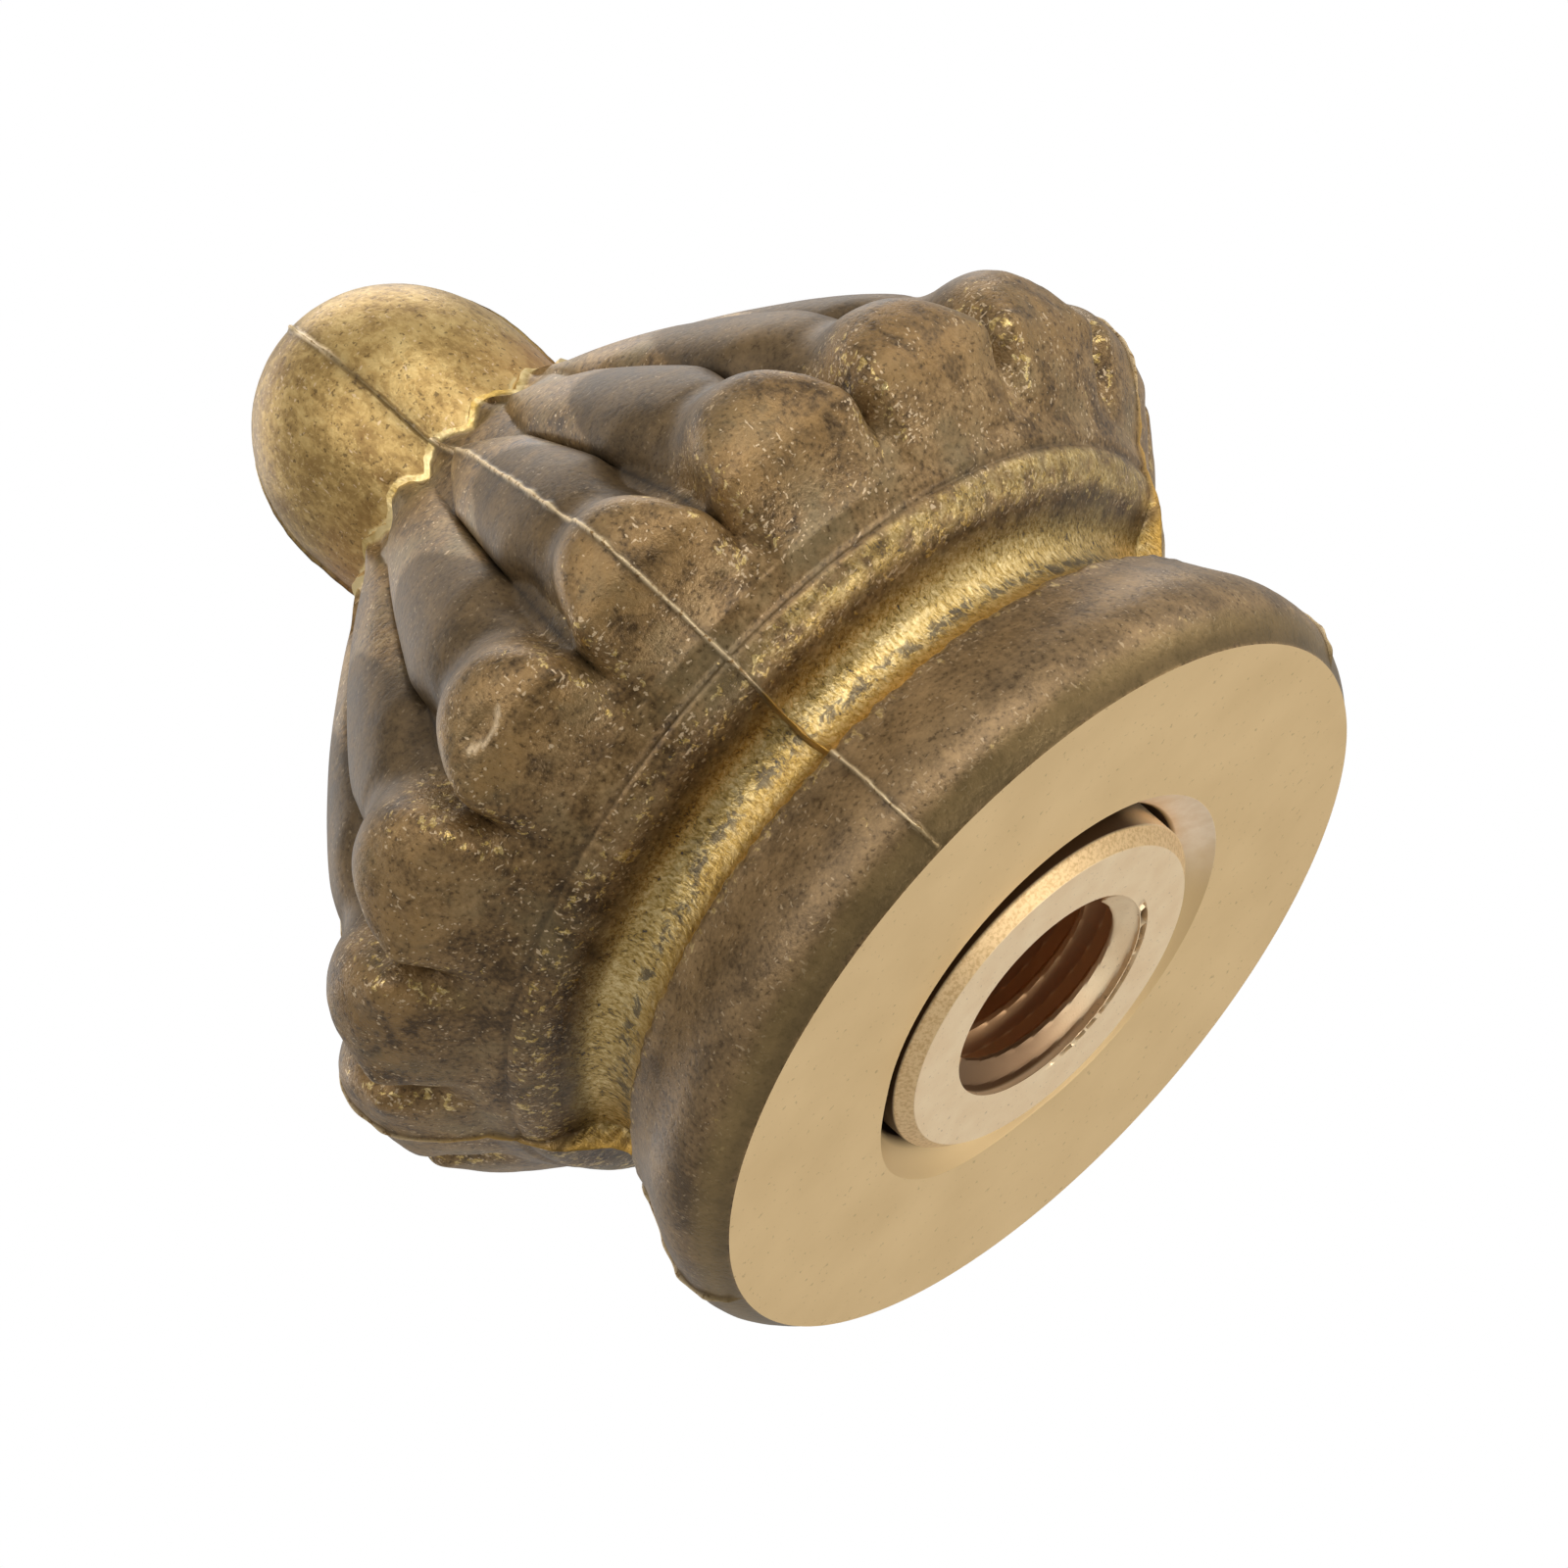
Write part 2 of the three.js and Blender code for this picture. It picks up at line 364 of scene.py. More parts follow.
def raise_parting_lines(form):
    """Raises a thin line over the casting at each quarter turn, and fills the groove there with flash."""
    height, radius, zone = form.height, form.radius, form.zone
    quarter = np.round(form.azimuth / (math.pi / 2))
    wander, swell = parting_noise(form.outline, quarter)
    form.aside = (form.azimuth - quarter * math.pi / 2) * radius  # how far beside the nearest line
    sway = 0.006 * wander + 0.0020 * swell
    form.around = form.azimuth + sway / np.maximum(radius, 0.1) * bell(form.aside, 0.03)
    form.near = np.exp(-np.abs(form.aside / (0.0060 + 0.0040 * swell)) ** 2.6)  # 1 on a line

    raised = (0.0105 + 0.0065 * swell) * smooth(height, 0.004, 0.03)
    nib = 0.024 * window(height, 2.405, 2.425, 2.435, 2.450) * (quarter == 0)
    on_ball = (0.0080 + 0.003 * swell + nib) * smooth(form.crest, 0.03, 0.12)
    raised = np.where(zone["ball"] | zone["seam"], on_ball, raised) * form.is_cast
    with_line = radius + raised
    in_groove = window(height, 0.35, 0.39, 0.66, 0.74) * form.is_cast
    flash = through(FLASH, height) + 0.006 * swell * window(height, 0.36, 0.38, 0.46, 0.50)
    with_line = with_line + np.clip(flash - with_line, 0, 1) * in_groove
    fillet = 0.22 * np.clip(flash - radius, 0, 1) * in_groove * np.exp(-np.abs(form.aside) / 0.028)
    form.radius = np.maximum(radius + (with_line - radius) * form.near, radius + fillet)


def press_dents(form):
    """Presses the dents in, and keeps how far into each of them a point lies."""
    form.dents = []
    for azimuth, middle, half_width, half_height, depth in DENTS:
        turned = np.angle(np.exp(1j * (form.around - math.radians(azimuth))))
        reach = (turned * form.radius / half_width) ** 2 + ((form.height - middle) / half_height) ** 2
        form.dents.append(np.clip(1 - reach, 0, 1) ** 1.2 * form.is_cast)
        form.radius = form.radius - depth * form.dents[-1]


def widen_countersink(form):
    """Shifts the countersink's edge and the flat face beside it: off centre, and out in one place."""
    wider = SINK_SHIFT * np.cos(form.around - math.radians(SINK_TOWARDS))
    wider = wider + SINK_WIDER * window(np.degrees(form.around) % 360, 195, 240, 250, 300)
    on_cone = smooth(form.crest, SOCKET_MOUTH, SINK_RADIUS)
    on_face = 1 - smooth(form.crest, SINK_RADIUS, 0.80)
    share = np.where(form.zone["sink"], on_cone, on_face) * (form.zone["sink"] | form.zone["flat"])
    form.radius = form.radius + wider * share


def bump_skin(form, points):
    """Adds the low bumps of the cast skin to the points, and leans the ball and the disc's edge."""
    height, zone = form.height, form.zone
    flat_list = points.reshape(-1, 3)
    form.cast = form.is_cast * smooth(height, 0.01, 0.06)  # fades out towards the machined face
    foot = window(height, 0.76, 0.82, 1.08, 1.18) * form.on_lobe
    lip = window(height, 0.58, 0.61, 0.66, 0.69) * zone["collar"]
    form.coarse = foot + 0.9 * lip + 0.3 * zone["disc"]
    form.broad = noise_at(flat_list, 0.32, 1.0).reshape(height.shape)
    form.medium = noise_at(flat_list, 0.085, 2.0).reshape(height.shape)
    form.small = noise_at(flat_list, 0.034, 5.0).reshape(height.shape)
    lift = 0.0040 * form.broad + 0.0020 * form.medium * (0.5 + form.coarse)
    lift = lift + 0.0014 * form.small * form.coarse
    radial = np.hypot(points[..., 0], points[..., 1])
    scale = np.where(radial > 0.15, (radial + lift * form.cast) / np.maximum(radial, 1e-6), 1)
    points[..., :2] *= scale[..., None]
    ball_lean = BALL_LEAN * smooth(height, 1.80, 1.98) * (zone["ball"] | zone["seam"] | zone["back"])
    disc_lean = DISC_LEAN * window(height, 0.10, 0.34, 0.40, 0.48) * form.is_cast
    points[..., 0] += disc_lean - ball_lean


def casting_surface():
    """Points of the casting in base radii, by ring and column, and what its masks are worked out from."""
    form = plain_form()
    shape_lobes(form)
    roughen_edges(form)
    raise_parting_lines(form)
    press_dents(form)
    widen_countersink(form)
    x, y = form.radius * np.sin(form.around), -form.radius * np.cos(form.around)
    points = np.stack([x, y, form.height], -1)
    bump_skin(form, points)
    return points, form


# -------- the casting's masks, which its material reads
def edge_mask(height, side):
    """Where the brown skin is worn: the feet's corners and rims, the groove's lip and the disc's edges."""
    rim = window(side, 0.60, 0.76, 0.90, 0.98) * window(height, 0.74, 0.80, 1.04, 1.12)
    arch = window(side, 0.30, 0.50, 0.80, 0.90) * window(height, 1.02, 1.06, 1.14, 1.20)
    toe = 0.3 * window(height, 0.735, 0.755, 0.775, 0.82)
    disc_top = window(height, 0.336, 0.371, 0.416, 0.430)
    disc_foot = 0.5 * window(height, 0.02, 0.04, 0.08, 0.14)
    lip = window(height, 0.585, 0.610, 0.660, 0.690)
    return np.maximum.reduce([rim, 0.7 * arch, toe, disc_top, disc_foot, lip])


def shade_and_dirt_mask(form):
    """Painted shade at the bottom of the valleys, between the lobes' backs, in the crease under the feet, on
    the disc beside the machined face, under the collar and beside the parting lines; and a dark line along
    the parting line on the ball and a dark stain in one dent.
    """
    height = form.height
    sunk = np.clip(1 - form.section, 0, 1)
    # painted shade: darker in the valleys between the lobes and behind them
    valley = sunk ** 1.3 * window(height, 0.80, 1.06, 1.32, 1.56) * form.on_lobe
    behind = 0.6 * sunk ** 3 * window(height, 1.20, 1.30, 1.60, 1.84) * form.on_lobe
    # painted shade in the crease under the feet, on the disc beside the machined face and under the collar;
    # painted shadow beside the parting lines
    crease = 0.32 * window(height, 0.682, 0.688, 0.694, 0.700)
    rim = 0.30 * window(height, 0.0005, 0.003, 0.014, 0.045)
    under = 0.50 * window(height, 0.560, 0.585, 0.600, 0.625)
    fringe = 0.5 * bell(form.aside, 0.018) * (1 - form.near)
    # a dark line along the parting line on the ball, and a dark stain in one dent
    on_ball = 0.75 * form.near * form.zone["ball"] * (1 - smooth(height, 2.20, 2.36))
    spot = 0.6 * form.dents[1]
    return np.maximum.reduce([0.90 * valley, behind, crease, rim, under, fringe, on_ball, spot])


def skin_masks(form):
    """Which colour of skin covers each place: the dark tongues, the disc, the feet's tops and the ball, with
    a painted coppery reflection at the ball's sides by the seam.
    """
    height, zone = form.height, form.zone
    tongue_top = 1.605 - 0.19 * form.side ** 2.2 + TONGUE_TILT[form.lobe] * form.across
    tongue_top = tongue_top + 0.020 * form.broad + 0.010 * form.medium
    tongue = window(height, 1.05, 1.17, tongue_top - 0.014, tongue_top + 0.014) * form.on_lobe
    sideways = np.sin(form.azimuth + 0.09)  # 1 towards +X and -1 towards -X
    by_seam = window(height, 1.860, 1.900, 1.960, 2.080)
    return {
        "tongue": tongue,
        "disc": zone["disc"],
        "ball": zone["ball"],
        "proud": np.clip(form.section, 0, 1) * window(height, 0.80, 0.90, 1.12, 1.22) * form.on_lobe,
        # darker on the half towards -X
        "darker_half": 0.5 - 0.5 * np.tanh(sideways * 3.0),
        # a painted coppery reflection at the ball's sides beside the seam
        "orange_reflection": by_seam * np.abs(sideways) ** 4 * zone["ball"],
        "olive_rim": window(height + 0.010 * form.medium, 0.0005, 0.003, 0.045, 0.095) * zone["disc"],
        "coarse": np.clip(form.coarse, 0, 1) * form.cast,
        # where scratches with painted glints, and worn chips, go
        "scratched_and_glinting": np.clip(1 - 0.75 * tongue - 0.5 * zone["disc"], 0, 1) * form.cast,
    }


def wear_masks(form):
    """Where the skin is worn, the painted shade and grime, a painted highlight in one dent, and the parting
    lines.
    """
    bright_line = np.where(form.zone["ball"], smooth(form.height, 2.16, 2.34), 1)
    in_dent = window(form.dents[0], 0.02, 0.12, 0.36, 0.70)
    return {
        "edge": edge_mask(form.height, form.side) * form.is_cast,
        "shade_and_dirt": shade_and_dirt_mask(form) * form.is_cast,
        "parting": form.near * form.cast * bright_line,
        # a painted highlight on one wall of the first dent
        "dent_highlight": in_dent * smooth(0.985 - form.height, -0.006, 0.010),
    }


def gold_masks(form):
    """Bare metal in the groove, on the lip over it and along the seam, and the dull patches in the groove."""
    height, zone = form.height, form.zone
    groove = window(height + 0.008 * form.small, 0.384, 0.392, 0.575, 0.605)
    worn_side = smooth(np.sin(form.azimuth + 0.1), 0.02, 0.30)
    lip_gold = 0.75 * worn_side * window(height, 0.605, 0.625, 0.665, 0.685)
    lip_gold = lip_gold * np.clip(0.6 + 1.2 * form.small, 0, 1)
    unscalloped = height + 0.040 * form.side ** 1.4 - form.ragged - 0.016
    away = smooth(np.abs(np.sin(form.azimuth)), 0.3, 0.6)  # from the parting lines on -Y and +Y
    turned = np.degrees((form.azimuth + 0.5) % (2 * math.pi) - 0.5)
    dull_height = 0.506 - 0.022 * smooth(turned, -6, 12)
    uneven = height + 0.010 * form.medium
    return {
        "groove": np.maximum(groove, lip_gold) * (zone["groove"] | zone["collar"]),
        "seam": window(unscalloped, 1.856, 1.862, 1.895, 1.905) * (form.crest > 0.3),
        "gilt": np.maximum(groove, away * window(height, 0.38, 0.42, 0.75, 0.95)),
        "dull": bell(uneven - dull_height, 0.031) * zone["groove"],
        "deep": window(uneven, 0.380, 0.390, dull_height - 0.035, dull_height) * zone["groove"],
    }


def machined_masks(form):
    """The countersink, the painted highlight on one side of it, and the painted shade in the gap round the
    insert.
    """
    at_gap = 1 - smooth(form.crest, SOCKET_MOUTH, SOCKET_MOUTH + 0.012)
    lit = window(form.degrees, 45, 65, 110, 130)
    return {
        "sink": form.zone["sink"],
        # a painted highlight on the countersink's upper side
        "sink_highlight": form.zone["sink"] * window(form.degrees % 360, 50, 75, 98, 130),
        # painted shade in the gap round the insert, left out where it is lit
        "gap": np.where(form.zone["gap"], 1, form.zone["sink"] * at_gap * (1 - lit)),
    }


# -------- the two pieces
def socket_rings(azimuth):
    """The socket behind the insert, from the drilled corner out to the step near its mouth."""
    wall = INSERT_RADIUS + SOCKET_GAP
    step = INSERT_RADIUS + STEP_GAP
    return np.stack([ring(DRILL_RADIUS, SOCKET_TOP, azimuth), ring(wall, SOCKET_TOP, azimuth),
                     ring(wall, STEP_TOP, azimuth), ring(step, STEP_TOP, azimuth)])


def build_casting():
    """The casting's mesh with its masks, and how many of its first faces are machined."""
    points, form = casting_surface()
    placed = points * R
    placed[..., 2] += BASE_Z
    socket = socket_rings(form.columns)
    whole = np.concatenate([socket, placed])
    tip_at = (-BALL_LEAN * R, 0, BASE_Z + TIP * R)
    mesh = grid_mesh("casting", whole, cap_start=(0, 0, DRILL_POINT), cap_end=tip_at)
    masks = {**skin_masks(form), **wear_masks(form), **gold_masks(form), **machined_masks(form)}
    in_socket = np.zeros(socket.shape[:2])
    for name, values in masks.items():
        set_mask(mesh, name, np.concatenate([in_socket, values]), at_caps=float(name == "ball"))
    obj = link("casting", mesh)
    mesh.set_sharp_from_angle(angle=math.radians(40))
    machined_rings = len(socket) + np.count_nonzero(~form.is_cast[:, 0])
    return obj, (machined_rings - 1) * len(form.columns)


def thread_turn(azimuth, depth):
    """Turns of thread passed since the first crest, and the azimuth in degrees from -100 to 260."""
    degrees = (np.degrees(azimuth) + 100) % 360 - 100
    return (depth - FIRST_CREST) / THREAD_PITCH - (degrees - FIRST_AZIMUTH) / 360, degrees


def thread_radius(azimuth, depth):
    """Radius of the internal right-handed thread: rounded roots, narrow crests and a blunt start."""
    turn, degrees = thread_turn(azimuth, depth)
    number = np.round(turn)
    phase = np.abs(turn - number) * 2  # 0 on a crest, 1 in the middle of a root
    flank = np.clip((phase - 0.14) / 0.52, 0, 1) ** 0.85
    begun = np.where(number > 0, 1.0, smooth(degrees, THREAD_START, THREAD_START + 7) * (number == 0))
    return THREAD_MINOR + THREAD_DEPTH * (1 - (1 - flank) * begun)


def insert_outline(z0, z1):
    """The insert's outside from its hidden end to its mouth, and the numbers of the chamfer's points."""
    lip = 0.02 * MM  # the chamfer's last bit, bright like the face
    inner_edge = INSERT_RADIUS - CHAMFER
    points = [(INSERT_RADIUS - 0.2 * MM, z1), (INSERT_RADIUS, z1 - 0.2 * MM)]
    points.extend(line(points[-1], (INSERT_RADIUS, z0 + CHAMFER), 6))
    chamfer_start = len(points)
    points.append((INSERT_RADIUS - 0.03 * MM, z0 + CHAMFER - 0.05 * MM))
    points.extend(line(points[-1], (inner_edge + lip, z0 + lip), 8))
    chamfer_end = len(points)
    points.append((inner_edge, z0))
    points.extend(line(points[-1], (MOUTH + 0.25 * MM, z0), 10))
    return points, chamfer_start, chamfer_end


def torn_mouth(azimuth):
    """How torn the mouth's edge is, from 0 to 1; it is torn on one side only."""
    circle = around_circle(azimuth)
    torn = np.clip(0.6 + 1.5 * noise_at(circle, 0.07, 4.0) + 0.6 * noise_at(circle, 0.03, 1.0), 0, 1)
    return torn * window(np.degrees(azimuth), 92, 104, 180, 205)


def insert_masks(azimuth, depths, torn, outline_size, chamfer_start, chamfer_end):
    """The chamfer, the burr, the thread past its first crest, and painted shade: darker on the thread and the
    mouth's shaded side, dark on the insert's outer wall.
    """
    turn, degrees = thread_turn(azimuth, depths[:, None])
    shaded = smooth(degrees, 150, 210) * smooth(depths[:, None], 0.12 * MM, 0.22 * MM)
    past_crest = smooth(turn, 0.00, 0.14)
    thread_ring = outline_size + len(BURR)
    shape = (thread_ring + len(depths) + 1, INSERT_COLUMNS)
    masks = {name: np.zeros(shape) for name in ("chamfer", "burr", "thread", "wall")}
    masks["chamfer"][chamfer_start:chamfer_end] = 1.0
    masks["burr"][outline_size + 1:outline_size + 3] = torn
    # painted shade: darker brass down the thread and on the shaded side of the mouth
    masks["thread"][thread_ring:-1] = np.maximum(past_crest, shaded)
    # painted shade on the insert's outer wall, except where it is lit
    masks["wall"][:chamfer_start + 1] = 1 - window(np.degrees(azimuth), 55, 75, 110, 125)
    # painted shade on the shaded side of the bore's mouth
    masks["wall"][thread_ring:-1] = 0.76 * shaded * (1 - past_crest)
    return masks


def build_insert():
    """The insert's mesh, closed from its hidden end over its face and down its threaded bore."""
    z0, z1 = insert_low.z, insert_low.z + INSERT_LENGTH
    azimuth = np.linspace(0, 2 * math.pi, INSERT_COLUMNS, endpoint=False)
    outline, chamfer_start, chamfer_end = insert_outline(z0, z1)
    rings = [ring(radius, z, azimuth) for radius, z in outline]
    torn = torn_mouth(azimuth)
    for outward, deep in BURR:
        rings.append(ring(MOUTH + outward * MM, z0 + deep * MM * torn, azimuth))
    depths = np.linspace(0.03 * MM, INSERT_LENGTH - 0.02 * MM, THREAD_RINGS)
    for depth in depths:
        wall = np.maximum(thread_radius(azimuth, depth), MOUTH - 1.3 * depth)
        rings.append(ring(np.minimum(wall, MOUTH + 2 * depth), z0 + depth, azimuth))
    rings.append(ring(MOUTH, z1, azimuth))
    mesh = grid_mesh("insert", np.stack(rings), joined=True)
    masks = insert_masks(azimuth, depths, torn, len(outline), chamfer_start, chamfer_end)
    for name, values in masks.items():
        set_mask(mesh, name, values)
    obj = link("insert", mesh)
    mesh.set_sharp_from_angle(angle=math.radians(30))
    return obj


# -------- materials
class Nodes:
    """A material's node tree, with short forms for the nodes that it uses."""

    def __init__(self, name):
        self.material = bpy.data.materials.new(name)
        self.material.use_nodes = True
        self.tree = self.material.node_tree
        self.tree.nodes.clear()
        out = self.tree.nodes.new("ShaderNodeOutputMaterial")
        self.shader = self.tree.nodes.new("ShaderNodeBsdfPrincipled")
        self.link(self.shader.outputs[0], out.inputs[0])
        self.coord = self.tree.nodes.new("ShaderNodeTexCoord").outputs["Object"]

    def link(self, a, b):
        self.tree.links.new(a, b)

    def give(self, socket, value):
        """Sets a socket to a number or a colour, or links another node's output to it."""
        if isinstance(value, (int, float)):
            socket.default_value = value
        elif isinstance(value, tuple):
            socket.default_value = (*value, 1)
        elif value is not None:
            self.link(value, socket)

    def stretched(self, scale):
        node = self.tree.nodes.new("ShaderNodeMapping")
        node.inputs["Scale"].default_value = scale
        self.link(self.coord, node.inputs["Vector"])
        return node.outputs[0]

    def noise(self, size, detail=3.0, roughness=0.55, distortion=0.0, scale=None):
        node = self.tree.nodes.new("ShaderNodeTexNoise")
        node.inputs["Scale"].default_value = 1.0 / size
        node.inputs["Detail"].default_value = detail
        node.inputs["Roughness"].default_value = roughness
        node.inputs["Distortion"].default_value = distortion
        self.link(self.stretched(scale) if scale else self.coord, node.inputs["Vector"])
        return node.outputs["Fac"]

    def ramp(self, value, *stops):
        """A colour ramp through (position, colour or grey) stops."""
        node = self.tree.nodes.new("ShaderNodeValToRGB")
        elements = node.color_ramp.elements
        for i, (position, colour) in enumerate(stops):
            element = elements[i] if i < 2 else elements.new(position)
            element.position = position
            element.color = (*colour, 1) if isinstance(colour, tuple) else (colour, colour, colour, 1)
        self.link(value, node.inputs["Fac"])
        return node.outputs["Color"]

    def above(self, value, low, high):
        return self.ramp(value, (low, 0.0), (high, 1.0))

    def below(self, value, low, high):
        return self.ramp(value, (low, 1.0), (high, 0.0))

    def math(self, operation, *values):
        node = self.tree.nodes.new("ShaderNodeMath")
        node.operation = operation
        for socket, value in zip(node.inputs, values):
            self.give(socket, value)
        return node.outputs[0]

    def times(self, a, b):
        return self.math("MULTIPLY", a, b)

    def larger(self, a, b):
        return self.math("MAXIMUM", a, b)

    def plus(self, base, share, extra):
        """base and a share of extra."""
        return self.math("MULTIPLY_ADD", extra, share, base)

    def mix(self, share, a, b):
        """Colour a, with the given share of colour b over it."""
        node = self.tree.nodes.new("ShaderNodeMix")
        node.data_type = "RGBA"
        sockets = [s for s in node.inputs if s.enabled]
        for socket, value in zip(sockets, (share, a, b)):
            self.give(socket, value)
        return [s for s in node.outputs if s.enabled][0]

    def mask(self, name):
        node = self.tree.nodes.new("ShaderNodeAttribute")
        node.attribute_name = name
        return node.outputs["Fac"]

    def bump(self, height, distance, strength=1.0, lower=None):
        """A bump, on top of a lower one if that is given."""
        node = self.tree.nodes.new("ShaderNodeBump")
        node.inputs["Strength"].default_value = strength
        node.inputs["Distance"].default_value = distance
        self.link(height, node.inputs["Height"])
        self.give(node.inputs["Normal"], lower)
        return node.outputs[0]


# colours of the patina and of the bare brass under it
BROWN_DARK = (0.078, 0.042, 0.012)
BROWN = (0.262, 0.156, 0.058)
BROWN_LIGHT = (0.520, 0.333, 0.145)
GOLDEN_BROWN = (0.350, 0.198, 0.062)
# painted shade in the recesses, and the dark of grime and stains
SHADE_AND_SOOT = (0.016, 0.010, 0.005)
TONGUE_DARK = (0.074, 0.045, 0.017)
TONGUE_LIGHT = (0.215, 0.133, 0.054)
DISC_DARK = (0.118, 0.070, 0.027)
DISC_LIGHT = (0.385, 0.242, 0.105)
BALL_DARK = (0.300, 0.170, 0.048)
BALL_BRONZE = (0.375, 0.230, 0.070)
BALL_GOLD = (0.530, 0.340, 0.112)
BALL_LIGHT = (0.720, 0.510, 0.200)
# painted coppery reflection at the ball's sides
BALL_ORANGE_REFLECTION = (0.460, 0.200, 0.050)
GROOVE_DARK = (0.105, 0.092, 0.078)
GOLD = (0.540, 0.350, 0.095)
GOLD_LIGHT = (0.960, 0.740, 0.360)
ORANGE_GOLD = (0.520, 0.300, 0.065)
TAN = (0.800, 0.610, 0.350)
# pale gold of scratches and of painted glints, also the painted highlight in a dent
SCRATCH_GLINT = (0.780, 0.580, 0.350)
OLIVE = (0.150, 0.118, 0.055)
OLIVE_DARK = (0.300, 0.205, 0.080)

# colours of the machined face and countersink
FACE = (0.725, 0.508, 0.242)
FACE_LIGHT = (0.800, 0.572, 0.285)
FACE_SPECK = (0.330, 0.210, 0.090)
SINK_BRASS = (0.740, 0.520, 0.250)
# painted highlight on one side of the countersink
SINK_HIGHLIGHT = (0.880, 0.680, 0.450)
SINK_HIGHLIGHT_LIGHT = (0.980, 0.810, 0.600)
# painted shade in the gap round the insert
GAP_SHADE = (0.070, 0.034, 0.012)

# colours of the insert
TURNED = (0.930, 0.690, 0.415)
TURNED_LIGHT = (1.000, 0.785, 0.500)
TURNED_SPECK = (0.360, 0.220, 0.100)
# painted shade: darker brass down the bore
BORE_SHADE_BRASS = (0.640, 0.375, 0.180)
# the dark burr, and painted shade on the insert's wall and in its bore
BURR_AND_SHADE_DARK = (0.060, 0.030, 0.012)
CHAMFER_DARK = (0.700, 0.450, 0.200)
CHAMFER_LIGHT = (0.900, 0.640, 0.330)


def dress(net, colour, metallic, roughness, normal):
    """Gives the shader its values, each a number or another node's output."""
    values = {"Base Color": colour, "Metallic": metallic, "Roughness": roughness, "Normal": normal}
    for name, value in values.items():
        net.give(net.shader.inputs[name], value)
    return net.material


def skin_noise(net):
    """The noise that the cast skin's colours and relief share."""
    cloud = net.noise(3.2 * MM, 3, 0.5)
    blotch = net.noise(0.80 * MM, 4, 0.62, 0.5)
    speck = net.noise(0.13 * MM, 2, 0.6)
    patchy = net.plus(net.times(blotch, 0.55), 0.45, cloud)
    mottled = net.plus(net.times(patchy, 0.70), 0.30, speck)
    streak = net.noise(0.10 * MM, 4, 0.70, 0.6, (1.0, 1.0, 0.42))
    return SimpleNamespace(blotch=blotch, speck=speck, patchy=patchy, mottled=mottled, streak=streak)


def brown_skin(net, skin):
    """The brown of the feet and collar: mottled, olive in places and more golden on the feet's tops."""
    brown = net.ramp(skin.mottled, (0.38, BROWN_DARK), (0.50, BROWN), (0.64, BROWN_LIGHT))
    olive = net.above(net.noise(1.6 * MM, 3, 0.6), 0.47, 0.68)
    brown = net.mix(net.times(olive, 0.60), brown, OLIVE)
    golden = net.times(net.mask("proud"), net.above(skin.blotch, 0.40, 0.62))
    return net.mix(net.times(golden, 0.65), brown, GOLDEN_BROWN)


def ball_skin(net, skin):
    """The ball's gold and browner tones, darker on the half towards -X, with a painted coppery reflection at
    its sides beside the seam.
    """
    fine = net.noise(0.26 * MM, 4, 0.65, 0.4, (1.0, 1.0, 0.6))
    shade = net.plus(net.times(fine, 0.5), 0.5, skin.patchy)
    # darker on the half towards -X
    shade = net.plus(shade, -0.075, net.mask("darker_half"))
    ball = net.ramp(shade, (0.33, BALL_DARK), (0.41, BALL_BRONZE), (0.48, BALL_GOLD), (0.60, BALL_LIGHT))
    ball = net.mix(net.times(net.above(skin.speck, 0.58, 0.68), 0.5), ball, BALL_LIGHT)
    # a painted coppery reflection at the ball's sides beside the seam
    return net.mix(net.times(net.mask("orange_reflection"), 0.6), ball, BALL_ORANGE_REFLECTION)


def whole_skin(net, skin):
    """The skin's colour over the whole casting, before flecks and painted glints, bare metal, and painted
    shade and grime.
    """
    colour = brown_skin(net, skin)
    tongue = net.ramp(skin.mottled, (0.38, TONGUE_DARK), (0.64, TONGUE_LIGHT))
    disc = net.ramp(skin.mottled, (0.38, DISC_DARK), (0.64, DISC_LIGHT))
    colour = net.mix(net.mask("tongue"), colour, tongue)
    colour = net.mix(net.mask("disc"), colour, disc)
    colour = net.mix(net.mask("ball"), colour, ball_skin(net, skin))
    # a painted highlight in the first dent
    return net.mix(net.times(net.mask("dent_highlight"), 0.8), colour, SCRATCH_GLINT)


def glints(net, cluster, size, scale, low, high):
    """Painted glints on small scratches: bright flecks drawn out one way, closer together in clusters and
    where the skin is worn.
    """
    worn = net.plus(net.noise(size, 1, 0.5, 0.0, scale), 0.060, net.mask("edge"))
    return net.above(net.plus(worn, 0.30, cluster), low, high)


def add_flecks(net, skin, colour):
    """Dark pits, and golden flecks drawn out upwards and sideways: scratches with painted glints on them."""
    dark = net.times(net.below(skin.speck, 0.31, 0.40), 0.65)
    colour = net.mix(dark, colour, BROWN_DARK)
    cluster = net.noise(1.1 * MM, 3, 0.6)
    upright = glints(net, cluster, 0.10 * MM, (1.0, 1.0, 0.45), 0.855, 0.91)
    level = glints(net, cluster, 0.09 * MM, (0.40, 1.0, 1.0), 0.865, 0.92)
    # scratches with painted glints on them
    scratch_glint = net.times(net.larger(upright, level), net.mask("scratched_and_glinting"))
    return net.mix(net.times(scratch_glint, 0.75), colour, SCRATCH_GLINT)


def bare_places(net):
    """Where the metal is bare: in the groove, along the seam and in chips on worn edges."""
    rough_edge = net.plus(net.noise(0.26 * MM, 3, 0.6, 0.5), 0.17, net.mask("edge"))
    chips = net.times(net.above(rough_edge, 0.74, 0.78), net.mask("scratched_and_glinting"))
    return net.larger(net.mask("groove"), net.larger(chips, net.mask("seam")))


